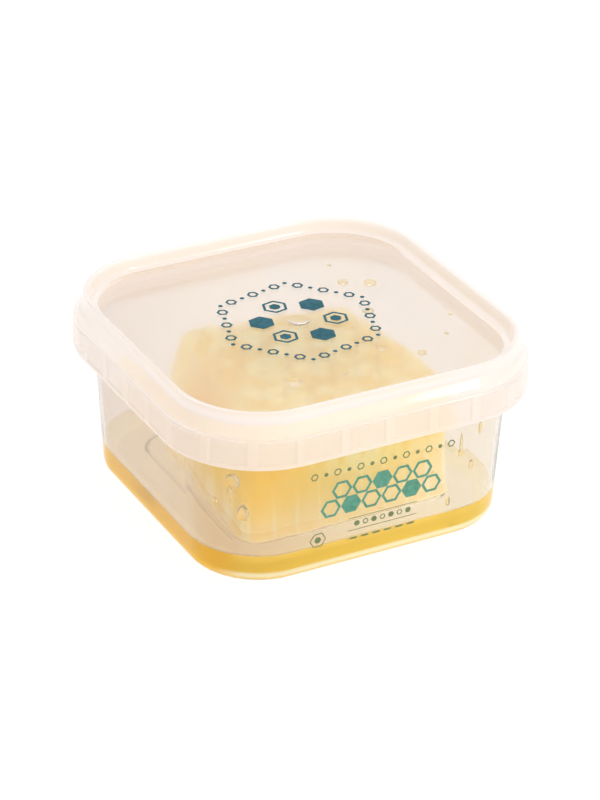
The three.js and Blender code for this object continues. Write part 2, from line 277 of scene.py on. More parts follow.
def eased(bm, verts, passes, sideways=True):
    """Smooths points a number of times, or only their heights if not sideways."""
    for _ in range(passes):
        bmesh.ops.smooth_vert(
            bm, verts=verts, factor=0.5,
            use_axis_x=sideways, use_axis_y=sideways, use_axis_z=True,
        )


def clamped(value):
    """A value kept between 0 and 1."""
    return max(0.0, min(1.0, value))


print("corner steps", CORNER_STEPS)

# %% [markdown]
# ## Finishes: what the effects share
# Moulded plastic, wax, honey and ink all vary a little over their surface. That is one effect,
# so it is one node group: noise on the piece's own coordinates, at a size that each finish
# asks for, given out as a mask and as a height. The shaders stay in each material.

# %% Mottle group
mottle = bpy.data.node_groups.new("mottle", "ShaderNodeTree")
mottle.interface.new_socket(name="Scale", in_out="INPUT", socket_type="NodeSocketFloat")
mottle.interface.new_socket(name="Contrast", in_out="INPUT", socket_type="NodeSocketFloat")
mottle.interface.new_socket(name="Squeeze", in_out="INPUT", socket_type="NodeSocketVector")
mottle.interface.new_socket(name="Mask", in_out="OUTPUT", socket_type="NodeSocketFloat")
mottle.interface.new_socket(name="Height", in_out="OUTPUT", socket_type="NodeSocketFloat")
enter, leave = node(mottle, "NodeGroupInput"), node(mottle, "NodeGroupOutput")
where = node(mottle, "ShaderNodeTexCoord")
squeezed = node(mottle, "ShaderNodeVectorMath", operation="MULTIPLY")
cloud = node(mottle, "ShaderNodeTexNoise", Detail=4.0, Roughness=0.55)
centred = node(mottle, "ShaderNodeMath", operation="SUBTRACT")
centred.inputs[1].default_value = 0.5
stretched = node(mottle, "ShaderNodeMath", operation="MULTIPLY_ADD", use_clamp=True)
stretched.inputs[2].default_value = 0.5
for source, target in (
    (where.outputs["Object"], squeezed.inputs[0]),
    (enter.outputs["Squeeze"], squeezed.inputs[1]),
    (squeezed.outputs[0], cloud.inputs["Vector"]),
    (enter.outputs["Scale"], cloud.inputs["Scale"]),
    (cloud.outputs["Fac"], centred.inputs[0]),
    (centred.outputs[0], stretched.inputs[0]),
    (enter.outputs["Contrast"], stretched.inputs[1]),
    (stretched.outputs[0], leave.inputs["Mask"]),
    (cloud.outputs["Fac"], leave.inputs["Height"]),
):
    mottle.links.new(source, target)


def finish(name, **constants):
    """A material whose shader holds the given plain values."""
    made = bpy.data.materials.new(name)
    made.use_nodes = True
    shader = made.node_tree.nodes["Principled BSDF"]
    for socket, value in constants.items():
        shader.inputs[socket.replace("_", " ")].default_value = value
    return made, made.node_tree, shader


def mottled(tree, scale, contrast, squeeze=(1, 1, 1)):
    """Places the mottle group: spots per metre, contrast, and a squeeze along each axis."""
    placed = node(tree, "ShaderNodeGroup", node_tree=mottle)
    placed.inputs["Scale"].default_value = scale
    placed.inputs["Contrast"].default_value = contrast
    placed.inputs["Squeeze"].default_value = squeeze
    return placed


def two_colours(tree, mask, first, second):
    """Mixes two colours by a mask and returns the colour."""
    mix = node(tree, "ShaderNodeMix", data_type="RGBA")
    tree.links.new(mask, mix.inputs[0])
    for socket, colour in ((mix.inputs[6], first), (mix.inputs[7], second)):
        if isinstance(colour, tuple):
            socket.default_value = (*colour, 1)
        else:
            tree.links.new(colour, socket)
    return mix.outputs[2]


def coloured(tree, shader, colour):
    """Feeds a mixed colour to the shader."""
    tree.links.new(colour, shader.inputs["Base Color"])


def axis_share(tree, axis, low, high):
    """How far a point stands between two places in mm along X, Y or Z, from 0 to 1."""
    place_on = node(tree, "ShaderNodeTexCoord")
    axes = node(tree, "ShaderNodeSeparateXYZ")
    share = node(
        tree, "ShaderNodeMapRange", interpolation_type="SMOOTHSTEP",
        From_Min=low * MM, From_Max=high * MM, To_Min=0.0, To_Max=1.0,
    )
    tree.links.new(place_on.outputs["Object"], axes.inputs[0])
    tree.links.new(axes.outputs[axis], share.inputs["Value"])
    return share.outputs[0]


def relief(tree, shader, spots, contrast, strength, depth):
    """Gives the shader small mottled relief: spots per metre, and a depth in mm."""
    bump = node(tree, "ShaderNodeBump", Strength=strength, Distance=depth * MM)
    tree.links.new(mottled(tree, spots, contrast).outputs["Height"], bump.inputs["Height"])
    tree.links.new(bump.outputs["Normal"], shader.inputs["Normal"])


def either(tree, first, second):
    """1 where one of two shares is 1."""
    larger = node(tree, "ShaderNodeMath", operation="MAXIMUM")
    tree.links.new(first, larger.inputs[0])
    tree.links.new(second, larger.inputs[1])
    return larger.outputs[0]


def lets_light_in(tree, shader, tint, from_inside=False):
    """Lets lamps and soft light pass a clear piece unbent, so that what it shuts in is lit.

    The light takes a tint. from_inside does the same for what is seen through a face from
    its inner side."""
    ray = node(tree, "ShaderNodeLightPath")
    plain = node(tree, "ShaderNodeBsdfTransparent", Color=(*tint, 1))
    choose = node(tree, "ShaderNodeMixShader")
    unbent = either(tree, ray.outputs["Is Shadow Ray"], ray.outputs["Is Diffuse Ray"])
    if from_inside:
        side = node(tree, "ShaderNodeNewGeometry")
        unbent = either(tree, unbent, side.outputs["Backfacing"])
    tree.links.new(unbent, choose.inputs[0])
    tree.links.new(shader.outputs[0], choose.inputs[1])
    tree.links.new(plain.outputs[0], choose.inputs[2])
    tree.links.new(choose.outputs[0], tree.nodes["Material Output"].inputs["Surface"])


print("shared group", mottle.name)

# %% [markdown]
# ## Clear and milky plastic
# The tub is clear polypropylene: it lets nearly everything through, with a faint warm haze. The
# haze's tint is painted shade and light: darker and pinker on the left side, lighter and creamier
# on the right, as the light falls. The lid is the same plastic with more filler, so that it glows
# and blurs what lies under it. Both are glass-like shaders.
# The haze is the share of light that isn't let through but scattered, and the blur is
# roughness. A thin smooth coat keeps the outside shiny over that blur. Faint flow marks from
# the mould are mottle at two sizes. Solid polypropylene bends light with an index of 1.49, but
# at 1.40 the many walls that are seen through each other stay as light as in the real pack,
# where haze fills their dark edges. The tub's lip lies inside the lid, wall behind wall, so it
# has a softer finish of its own. On the lid, an attribute tells ribs from recess floors.

# %% Plastic finishes
PLASTIC_IOR, LIP_IOR = 1.40, 1.12
# Painted shade and light: the haze tint is darker and pinker on the left side, lighter and
# creamier on the right.
SHADED_SIDE_HAZE, SHADED_SIDE_HAZE_THICK = (0.815, 0.745, 0.70), (0.845, 0.775, 0.73)
LIT_SIDE_HAZE, LIT_SIDE_HAZE_THICK = (0.90, 0.86, 0.81), (0.935, 0.895, 0.84)
SHADE_RAMP_FROM, SHADE_RAMP_TO = -33, 2
LIP_HAZE, LIP_HAZE_THICK = (0.95, 0.91, 0.88), (0.975, 0.945, 0.915)
TUB_FLOW, TUB_RIPPLE = (60.0, 1.6), (220.0, 1.0, 0.15, 0.05)
TUB_TINT, LID_TINT = (0.99, 0.98, 0.965), (0.97, 0.955, 0.935)

clear_plastic, tree, shader = finish(
    "clear_plastic", Roughness=0.04, IOR=PLASTIC_IOR, Transmission_Weight=0.975,
)
flow = mottled(tree, *TUB_FLOW).outputs["Mask"]
hazy = two_colours(tree, flow, SHADED_SIDE_HAZE, SHADED_SIDE_HAZE_THICK)
clear = two_colours(tree, flow, LIT_SIDE_HAZE, LIT_SIDE_HAZE_THICK)
# From the painted shade on the left side to the painted light on the right.
across = axis_share(tree, "X", SHADE_RAMP_FROM, SHADE_RAMP_TO)
coloured(tree, shader, two_colours(tree, across, hazy, clear))
relief(tree, shader, *TUB_RIPPLE)
lets_light_in(tree, shader, TUB_TINT)

hazy_lip, tree, shader = finish(
    "hazy_lip", Roughness=0.15, IOR=LIP_IOR, Transmission_Weight=0.88,
)
flow = mottled(tree, *TUB_FLOW).outputs["Mask"]
coloured(tree, shader, two_colours(tree, flow, LIP_HAZE, LIP_HAZE_THICK))
relief(tree, shader, *TUB_RIPPLE)
lets_light_in(tree, shader, TUB_TINT, from_inside=True)

RIB_NAME = "rib"
PANEL_MILK, PANEL_MILK_THICK = (0.87, 0.80, 0.765), (0.895, 0.835, 0.805)
# The rib colour is painted light: it lightens the ribs and the rim above the skirt, and the recess
# floors stay darker as painted shade.
RIM_MILK, RIM_MILK_THICK, LIT_RIB_MILK = (0.89, 0.80, 0.745), (0.905, 0.825, 0.775), (0.96, 0.89, 0.86)


def milky(name, clearness, blur, thin, thick, rib, from_inside=False):
    """A milky plastic: clearness is the share of light that isn't scattered at each surface."""
    made, tree, shader = finish(
        name, Roughness=blur, IOR=PLASTIC_IOR, Transmission_Weight=clearness,
        Coat_Weight=0.8, Coat_Roughness=0.04, Coat_IOR=1.5,
    )
    flow = two_colours(tree, mottled(tree, 45.0, 2.0).outputs["Mask"], thin, thick)
    on_a_rib = node(tree, "ShaderNodeAttribute", attribute_name=RIB_NAME)
    coloured(tree, shader, two_colours(tree, on_a_rib.outputs["Fac"], flow, rib))
    relief(tree, shader, 350.0, 1.0, 0.12, 0.05)
    lets_light_in(tree, shader, LID_TINT, from_inside)
    return made


milky_plastic = milky(
    "milky_plastic", 0.945, 0.14, PANEL_MILK, PANEL_MILK_THICK, PANEL_MILK_THICK,
)
milky_rim = milky(
    "milky_rim", 0.36, 0.34, RIM_MILK, RIM_MILK_THICK, LIT_RIB_MILK, from_inside=True,
)
print("plastic finishes", clear_plastic.name, hazy_lip.name, milky_plastic.name, milky_rim.name)

# %% [markdown]
# ## The tub
# A thin moulded tub with a draft, so that it leaves its mould: each millimetre up, the wall
# stands a little further out. The middle of its floor is pushed up, and its lip is a wider band
# that the lid grips. One profile draws all of that, outside and inside, and the sweep does the
# rest, so the wall keeps its true thickness and light bends in it as it should. The lip's softer
# finish reaches further down outside than inside. A ray that came in by that finish and met the
# clear one on its way out would be turned back in the wall, and draw a dark line.

# %% Tub
TUB_CENTRE = 19.4
WALL, FLOOR_THICK = 0.8, 1.0
FOOT, FOOT_ROUND, DRAFT = 32.1, 2.95, 0.058
PUSH_UP, PUSH_UP_HALF, PUSH_UP_STEP = 0.9, 24.9, 0.8
LIP_TOP, LIP_HALF, LIP_HEIGHT, LIP_WIDTH = 38.2, 38.9, 2.6, 1.3
INNER_ARC_STEPS, OUTER_ARC_STEPS = 8, 10
TUB_SOFT, LID_SOFT = 0.15, 0.12


def wall_at(height):
    """Outer half-width of the tub's wall at a height."""
    return FOOT + FOOT_ROUND + (height - FOOT_ROUND) * DRAFT


def inside_line(inset, top):
    """The tub's inner floor and wall up to a height, set in by a distance."""
    floor_top = FLOOR_THICK + inset
    radius = FOOT_ROUND - WALL - inset
    return [
        (PUSH_UP_HALF, PUSH_UP + floor_top),
        (PUSH_UP_HALF + PUSH_UP_STEP, floor_top),
        *foot_arc(FOOT, floor_top + radius, radius, INNER_ARC_STEPS),
        (wall_at(top) - WALL - inset, top),
    ]


shelf = LIP_TOP - LIP_HEIGHT
lip_foot, lip_foot_inside = shelf - 2.1, shelf - 0.9
tub_line = [
    (PUSH_UP_HALF, PUSH_UP),
    (PUSH_UP_HALF + PUSH_UP_STEP, 0),
    *foot_arc(FOOT, FOOT_ROUND, FOOT_ROUND, OUTER_ARC_STEPS),
    (wall_at(lip_foot), lip_foot),
    (wall_at(shelf - 0.6), shelf - 0.6),
    (LIP_HALF - 0.3, shelf),
    (LIP_HALF, shelf + 0.5),
    (LIP_HALF, LIP_TOP - 0.3),
    (LIP_HALF - 0.3, LIP_TOP),
    (LIP_HALF - LIP_WIDTH + 0.3, LIP_TOP),
    (LIP_HALF - LIP_WIDTH, LIP_TOP - 0.4),
    (LIP_HALF - LIP_WIDTH - 0.2, shelf + 0.7),
    (wall_at(shelf - 0.3) - WALL, shelf - 0.3),
    *reversed(inside_line(0, lip_foot_inside)),
]
bm, _ = swept(tub_line, TUB_CENTRE, even_runs(TUB_CENTRE))
closed(bm)
for face in bm.faces:
    face.material_index = int(face.calc_center_median().z > lip_foot * MM)
print("tub faces", len(bm.faces))
tub = softened(piece("tub_shell", bm, clear_plastic, hazy_lip), TUB_SOFT)
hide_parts("tub")

# %% [markdown]
# ## The lid
# The lid has a stacking rim, a flat panel sunk inside it and a skirt with narrow ribs to grip.
# The ribs could be boxes joined on, but on the real lid they are what is left between shallow
# recesses. So the sweep stops at both edges of every rib, and the strips of skirt between two
# ribs are inset a little way into the wall. The moulding mark in the middle of the panel is a
# low disc with a soft edge. Smooth shading blends the directions of the faces that meet at a
# point, so the profile starts and ends with a short flat stretch. Without it the whole panel
# would mirror light like a dish.

# %% Lid profile
LID_HALF, LID_TOP, LID_CENTRE, LID_WALL = 41.0, 42.0, 19.8, 0.8
SKIRT_BOTTOM, SKIRT_TOP, SHOULDER = 30.33, 36.8, 40.2
RIM, RIM_WIDTH, PANEL = 37.37, 1.28, 39.3
RIM_OUT = RIM + RIM_WIDTH
RECESS_LOW, RECESS_HIGH = SKIRT_BOTTOM + 0.75, SKIRT_TOP - 0.45
INNER = LID_HALF - LID_WALL
MILKY_FROM = RIM - 1.6

lid_line = [
    (RIM - 1.8, PANEL),
    (RIM - 1.1, PANEL),
    (RIM - 0.45, PANEL + 0.15),
    (RIM - 0.2, PANEL + 0.6),
    (RIM, LID_TOP - 0.4),
    (RIM + 0.13, LID_TOP - 0.12),
    (RIM + 0.45, LID_TOP),
    (RIM_OUT - 0.45, LID_TOP),
    (RIM_OUT - 0.13, LID_TOP - 0.13),
    (RIM_OUT, LID_TOP - 0.45),
    (RIM_OUT + 0.2, LID_TOP - 1.5),
    (RIM_OUT + 0.6, PANEL),
    (SHOULDER - 0.4, PANEL - 1.0),
    (SHOULDER, SKIRT_TOP + 0.5),
    (SHOULDER + 0.1, SKIRT_TOP + 0.1),
    (LID_HALF - 0.25, SKIRT_TOP),
    (LID_HALF - 0.1, SKIRT_TOP - 0.3),
    (LID_HALF - 0.09, RECESS_HIGH),
    (LID_HALF - 0.01, RECESS_LOW),
    (LID_HALF, SKIRT_BOTTOM + 0.3),
    (LID_HALF - 0.1, SKIRT_BOTTOM),
    (INNER + 0.1, SKIRT_BOTTOM),
    (INNER, SKIRT_BOTTOM + 0.3),
    (INNER - 0.1, shelf - 2.2),
    (LIP_HALF - 0.15, shelf - 1.2),
    (LIP_HALF - 0.15, shelf - 0.8),
    (INNER - 0.2, shelf - 0.3),
    (INNER - 0.25, SKIRT_TOP - 0.7),
    (LIP_HALF + 0.6, SKIRT_TOP),
    (LIP_HALF + 0.45, LIP_TOP - 0.3),
    (LIP_HALF + 0.1, LIP_TOP + 0.45),
    (RIM_OUT - 0.1, PANEL + 0.3),
    (RIM_OUT - 0.4, LID_TOP - 1.2),
    (RIM_OUT - 0.75, LID_TOP - 1.2),
    (RIM + 0.4, PANEL),
    (RIM, PANEL - LID_WALL + 0.1),
    (RIM - 1.1, PANEL - LID_WALL),
    (RIM - 1.8, PANEL - LID_WALL),
]

# %% Lid sweep and ribs
RIB_COUNT, RIB_WIDTH, RIB_START, RECESS = 29, 1.7, 0.9, 0.3
CORNER_RADIUS = LID_HALF - LID_CENTRE
STRAIGHT = 2 * LID_CENTRE
QUARTER = STRAIGHT + CORNER_RADIUS * math.pi / 2
AROUND = SIDES * QUARTER
LARGEST_TURN = math.radians(5)
SLIVER = 1e-6

rib_middles = [LID_CENTRE + RIB_START + i * AROUND / RIB_COUNT for i in range(RIB_COUNT)]
rib_edges = sorted(m + s * RIB_WIDTH / 2 for m in rib_middles for s in (-1, 1))


def on_rib(distance):
    """True if a distance along the skirt lies on a rib."""
    gaps = [abs((distance - m + AROUND / 2) % AROUND - AROUND / 2) for m in rib_middles]
    return min(gaps) < RIB_WIDTH / 2


runs, middles = [], []
for number in range(SIDES):
    begin = number * QUARTER
    stops = [e % AROUND - begin for e in rib_edges]
    stops = [s for s in stops if 0 < s < QUARTER and abs(s - STRAIGHT) > SLIVER]
    stops = sorted([0, STRAIGHT, QUARTER, *stops])
    slides, turns = [], []
    for low, high in zip(stops, stops[1:]):
        if high <= STRAIGHT:
            slides.append(high - low)
            middles.append(begin + (low + high) / 2)
            continue
        angle = (high - low) / CORNER_RADIUS
        parts = math.ceil(angle / LARGEST_TURN)
        turns += [angle / parts] * parts
        middles += [begin + low + (high - low) * (p + 0.5) / parts for p in range(parts)]
    runs.append((slides, turns))

GATE_RADIUS, GATE_HEIGHT, GATE_STEPS = 2.4, 0.25, 40
GATE_RINGS = ((0.93, 0.7), (0.80, 1.0))
on_panel = Matrix.Translation((0, 0, PANEL * MM))

bm, strips = swept(lid_line, LID_CENTRE, runs)
top_ring = [e for e in bm.edges if e.is_boundary and e.verts[0].co.z > (PANEL - 0.1) * MM]
bmesh.ops.create_circle(
    bm, segments=GATE_STEPS, radius=GATE_RADIUS * MM, matrix=on_panel,
)
gate_ring = [e for e in bm.edges if e.is_wire]
bmesh.ops.bridge_loops(bm, edges=top_ring + gate_ring)
for share, rise in GATE_RINGS:
    grown = bmesh.ops.extrude_edge_only(bm, edges=gate_ring)["geom"]
    gate = [g for g in grown if isinstance(g, bmesh.types.BMVert)]
    gate_ring = [
        g for g in grown
        if isinstance(g, bmesh.types.BMEdge) and all(v in gate for v in g.verts)
    ]
    for vert in gate:
        reach = GATE_RADIUS * share * MM / vert.co.xy.length
        vert.co = (vert.co.x * reach, vert.co.y * reach, (PANEL + GATE_HEIGHT * rise) * MM)
closed(bm)
print("lid faces", len(bm.faces))

# %% Recesses between the ribs
RECESS_SLOPE, SKIRT_SHARE = 0.35, 0.35
NEARLY = 0.01

from_first_rib = sorted(
    zip(strips, middles), key=lambda pair: (pair[1] - rib_middles[0]) % AROUND,
)
open_panel, panels = [], []
for strip, middle in from_first_rib:
    if on_rib(middle):
        panels.append(open_panel)
        open_panel = []
        continue
    for face in strip:
        heights = [v.co.z / MM for v in face.verts]
        above_edge = SKIRT_BOTTOM + 0.5 < min(heights) < RECESS_LOW + NEARLY
        if above_edge and max(heights) > RECESS_HIGH - NEARLY:
            open_panel.append(face)
panels.append(open_panel)
panels = [p for p in panels if p]
for panel in panels:
    bmesh.ops.inset_region(
        bm, faces=panel, thickness=RECESS_SLOPE * MM, depth=-RECESS * MM,
        use_even_offset=True, use_boundary=True,
    )
# The rib share sets how much painted light a point takes: all on the rim above the skirt, some on
# the skirt, none on the recess floors, which keep the painted shade.
rib = bm.verts.layers.float.new(RIB_NAME)
for vert in bm.verts:
    vert[rib] = 1.0 if vert.co.z > SKIRT_TOP * MM else SKIRT_SHARE
for panel in panels:
    for vert in {v for face in panel for v in face.verts}:
        vert[rib] = 0.0
for face in bm.faces:
    point = face.calc_center_median() / MM
    face.material_index = int(half_width(point.x, point.y, LID_CENTRE) > MILKY_FROM)
print("lid panels", len(panels), "faces", len(bm.faces))
lid = softened(piece("lid_shell", bm, milky_plastic, milky_rim), LID_SOFT)
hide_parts("lid")

# %% [markdown]
# ## Wax and honey finishes
# Fresh wax is pale, and honey shines through wherever it is thin. So the wax's colour follows
# how deep a point lies in an opened cell, a value that the comb keeps at each of its points,
# and on top it is paler where dry cappings catch the light. On its sides it is painted paler
# towards the foot and the lower right corner, as painted light, and darker at the upper right
# front edge, as painted shade. Light soaks into wax, which a little subsurface scattering gives.
# Honey is a clear amber liquid: its colour comes from how much of it light crosses. That could be
# a volume, but then the pool and its rim, which are one liquid, couldn't have two finishes. So
# the colour is in the surface: pale on top, where the pool is a few millimetres deep, and deep
# gold in bands against the wall, where the eye looks along it. The top is painted lighter on the
# right than on the left, as painted light and shade. Among the bands, a pale one low down is a
# painted highlight, and the rim is painted deeper at its left end, as painted shade. The rim is
# plain and clear to what is seen from inside the honey. Honey bends light about as the plastic
# does, so no glint shows where they touch, and the rim's own index, which counts from plastic to
# honey, is nearly 1.

# %% Wax and honey finishes
WAX_PALE, WAX_WARM, WAX_DEEP = (1.0, 0.85, 0.38), (1.0, 0.75, 0.18), (0.98, 0.62, 0.04)
WAX_CAPPED, WAX_CAPPED_WARM = (1.0, 0.85, 0.34), (0.95, 0.65, 0.06)
DEPTH_NAME = "cell_depth"


def scaled(tree, value, factor):
    """A share made smaller by a plain factor."""
    times = node(tree, "ShaderNodeMath", operation="MULTIPLY")
    times.inputs[1].default_value = factor
    tree.links.new(value, times.inputs[0])
    return times.outputs[0]


def near_share(tree, centre, reach):
    """1 at a place in mm, falling to 0 at a distance from it."""
    place_on = node(tree, "ShaderNodeTexCoord")
    apart = node(tree, "ShaderNodeVectorMath", operation="DISTANCE")
    apart.inputs[1].default_value = [c * MM for c in centre]
    share = node(
        tree, "ShaderNodeMapRange", interpolation_type="SMOOTHSTEP",
        From_Min=0.0, From_Max=reach * MM, To_Min=1.0, To_Max=0.0,
    )
    tree.links.new(place_on.outputs["Object"], apart.inputs[0])
    tree.links.new(apart.outputs["Value"], share.inputs["Value"])
    return share.outputs[0]


WET_CORNER, WET_REACH = (-20.0, -26.0, 21.0), 17.0
WET_SIDE, WET_SIDE_REACH, WAX_AMBER = (-27.0, -2.0, 24.0), 18.5, (0.90, 0.45, 0.0)
# Painted light: the wax sides are painted paler towards the foot and towards the lower right front
# corner.
LIT_COMB_FOOT, FOOT_LOW, FOOT_HIGH = (1.0, 0.90, 0.68), 4.0, 16.0
LIT_CORNER, LIT_CORNER_REACH, WAX_LIT = (26.0, -26.0, 4.0), 22.0, (1.0, 0.93, 0.76)
# Painted shade: the wax is painted darker at the upper right front edge.
SHADED_EDGE, SHADED_EDGE_REACH = (20.0, -26.0, 27.0), 13.0
TOP_LOW, TOP_HIGH = 31.2, 33.4
EDGE_SHADE, CELL_SHADE = 0.7, 0.35

wax, tree, shader = finish(
    "comb_wax", Roughness=0.42, IOR=1.45, Subsurface_Weight=0.25, Subsurface_Scale=0.002,
    Subsurface_Radius=(1.0, 0.6, 0.2), Coat_Weight=0.35, Coat_Roughness=0.15, Coat_IOR=1.45,
)
streaks = mottled(tree, 120.0, 3.2, (1, 1, 0.3)).outputs["Mask"]
patches = mottled(tree, 170.0, 6.5).outputs["Mask"]
depth = node(tree, "ShaderNodeAttribute", attribute_name=DEPTH_NAME)
sides = two_colours(tree, streaks, WAX_WARM, WAX_PALE)
# Painted light: paler towards the foot, then paler towards the lower right front corner.
sides = two_colours(tree, axis_share(tree, "Z", FOOT_LOW, FOOT_HIGH), LIT_COMB_FOOT, sides)
sides = two_colours(tree, near_share(tree, LIT_CORNER, LIT_CORNER_REACH), sides, WAX_LIT)
sides = two_colours(tree, near_share(tree, WET_CORNER, WET_REACH), sides, WAX_DEEP)
# Painted shade at the upper right front edge.
edge_shade = scaled(tree, near_share(tree, SHADED_EDGE, SHADED_EDGE_REACH), EDGE_SHADE)
sides = two_colours(tree, edge_shade, sides, WAX_DEEP)
top = two_colours(tree, patches, WAX_CAPPED_WARM, WAX_CAPPED)
capped = two_colours(tree, axis_share(tree, "Z", TOP_LOW, TOP_HIGH), sides, top)
capped = two_colours(tree, near_share(tree, WET_SIDE, WET_SIDE_REACH), capped, WAX_AMBER)
wet = scaled(tree, depth.outputs["Fac"], CELL_SHADE)
coloured(tree, shader, two_colours(tree, wet, capped, WAX_DEEP))
relief(tree, shader, 900.0, 1.5, 0.4, 0.15)

# Painted light and shade: the pool top is painted lighter on the right than on the left.
HONEY_THIN_SHADED, HONEY_THIN_SHADED_WARM = (0.96, 0.875, 0.67), (0.94, 0.835, 0.56)
HONEY_THIN_LIT, HONEY_THIN_LIT_WARM = (1.0, 0.97, 0.87), (1.0, 0.945, 0.80)
HONEY_DROP, HONEY_DROP_WARM = (1.0, 0.94, 0.70), (1.0, 0.88, 0.54)
HONEY_FOOT = (1.0, 0.70, 0.12)
# The pale band from 1.2 to 1.8 mm is a painted highlight; the gold bands are honey seen edge-on.
HONEY_BANDS_AND_HIGHLIGHT = (
    (1.2, 1.8, (1.0, 0.92, 0.56)),
    (2.2, 3.0, (0.86, 0.57, 0.03)),
    (5.0, 5.9, (0.93, 0.61, 0.05)),
)
# Painted shade: the rim is painted deeper at its left end.
HONEY_LEFT_SHADE = (0.93, 0.51, 0.0)
LIT_RAMP_FROM, LIT_RAMP_TO, LEFT_SHADE_FROM, LEFT_SHADE_TO = -26, 20, -28, -33
HONEY_TINT, EDGE_IOR = (0.99, 0.95, 0.80), 1.05


def honey_finish(name, clearness, bend, from_inside=False):
    """Honey that lets the given share of light through at each surface, bent by an index."""
    made, tree, shader = finish(name, Roughness=0.03, IOR=bend, Transmission_Weight=clearness)
    relief(tree, shader, 90.0, 1.0, 0.2, 0.3)
    lets_light_in(tree, shader, HONEY_TINT, from_inside)
    return made, tree, shader


honey, tree, shader = honey_finish("honey", 0.95, PLASTIC_IOR)
thin = mottled(tree, 70.0, 2.0).outputs["Mask"]
shaded_honey = two_colours(tree, thin, HONEY_THIN_SHADED, HONEY_THIN_SHADED_WARM)
lit_honey = two_colours(tree, thin, HONEY_THIN_LIT, HONEY_THIN_LIT_WARM)
# From the painted shade on the left to the painted light on the right.
across = axis_share(tree, "X", LIT_RAMP_FROM, LIT_RAMP_TO)
coloured(tree, shader, two_colours(tree, across, shaded_honey, lit_honey))

honey_drop, tree, shader = honey_finish("honey_drop", 0.85, PLASTIC_IOR)
thin = mottled(tree, 300.0, 2.0).outputs["Mask"]
coloured(tree, shader, two_colours(tree, thin, HONEY_DROP, HONEY_DROP_WARM))

honey_edge, tree, shader = honey_finish("honey_edge", 0.42, EDGE_IOR, from_inside=True)
banded = HONEY_FOOT
for low, high, colour in HONEY_BANDS_AND_HIGHLIGHT:
    banded = two_colours(tree, axis_share(tree, "Z", low, high), banded, colour)
# Painted shade towards the rim's left end.
left_shade = axis_share(tree, "X", LEFT_SHADE_FROM, LEFT_SHADE_TO)
coloured(tree, shader, two_colours(tree, left_shade, banded, HONEY_LEFT_SHADE))
print("food finishes", wax.name, honey.name, honey_drop.name, honey_edge.name)

# %% [markdown]
# ## The comb
# The block has capped cells on top, a midrib half-way down and opened cells along its cut sides,
# and its solid in the frame already has those forms with flat facets. Sculpting it anew would
# risk another shape, so a merged copy is melted into a fine even skin (a voxel remesh), eased
# with smoothing, and then given what real wax has: wrinkled cappings, ragged cut edges and small
# lumps. Its outer hull is kept as a measure of how deep each point lies in a cell. The honey
# left in the opened cells nearly fills them and is one gleaming body with the wax, so those
# points are drawn out most of the way to the hull. That crumples the skin where cells were deep,
# so it is melted once more, and each new point takes the depth of the old point nearest to it,
# which becomes a deeper colour.

# %% Comb skin
COMB_VOXEL = 0.38
FACET_GAP = 2e-6


def melted(made, voxel):
    """Replaces a piece's mesh by an even skin of small faces."""
    remesh = made.modifiers.new("skin", "REMESH")
    remesh.mode = "VOXEL"
    remesh.voxel_size = voxel * MM
    applied(made)


def applied(made):
    """Makes what a piece's modifiers give its real mesh, with the same finishes."""
    graph = bpy.context.evaluated_depsgraph_get()
    fresh = bpy.data.meshes.new_from_object(made.evaluated_get(graph))
    fresh.materials.clear()
    for used in made.data.materials:
        fresh.materials.append(used)
    made.modifiers.clear()
    old, made.data = made.data, fresh
    bpy.data.meshes.remove(old)


def copy_of(name):
    """A merged copy of a solid of the frame."""
    bm = bmesh.new()
    bm.from_mesh(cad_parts[name].data)
    bmesh.ops.remove_doubles(bm, verts=bm.verts, dist=FACET_GAP)
    return bm


def hull_of(name):
    """The tight outer hull of a solid of the frame."""
    bm = copy_of(name)
    hull = bmesh.ops.convex_hull(bm, input=bm.verts)
    inner = {g for key in ("geom_interior", "geom_unused") for g in hull[key]}
    inner = [g for g in inner if isinstance(g, bmesh.types.BMVert)]
    bmesh.ops.delete(bm, geom=inner, context="VERTS")
    kept = {g for g in hull["geom"] if isinstance(g, bmesh.types.BMFace)}
    bmesh.ops.delete(bm, geom=[f for f in bm.faces if f not in kept], context="FACES_ONLY")
    bmesh.ops.recalc_face_normals(bm, faces=bm.faces)
    return bm


comb = piece("comb_wax", copy_of("comb"), wax)
melted(comb, COMB_VOXEL)
print("comb skin", len(comb.data.polygons), "faces")

# %% Honey in the opened cells
SHALLOWEST, DEEPEST = 0.25, 1.5
HONEY_FILL, FILL_TOP, FILL_FADE = 0.92, 32.6, 2.5

hull = hull_of("comb")
outside = BVHTree.FromBMesh(hull)
hull.free()

cells = KDTree(len(comb.data.vertices))
cell_depths = []
for vert in comb.data.vertices:
    skin, _, _, cut_in = outside.find_nearest(vert.co)
    cell_depths.append(clamped((cut_in / MM - SHALLOWEST) / DEEPEST))
    below = clamped((FILL_TOP - vert.co.z / MM) / FILL_FADE)
    vert.co = vert.co.lerp(skin, HONEY_FILL * below)
    cells.insert(vert.co, vert.index)
cells.balance()
melted(comb, COMB_VOXEL)
print("filled skin", len(comb.data.polygons), "faces")

# %% Comb relief
WRINKLE, LUMP, SWELL = 0.10, 0.16, 0.6
WRINKLES_PER_MM, LUMPS_PER_MM, SWELLS_PER_MM = 1.9, 0.45, 0.16
WRINKLE_SHIFT, SWELL_INWARD = Vector((7, 3, 5)), 0.3
CAPPING_HEIGHT, CAPPING_BOOST = 32.6, 1.5
RELIEF_SHARE, EASE_PASSES = 0.7, 3

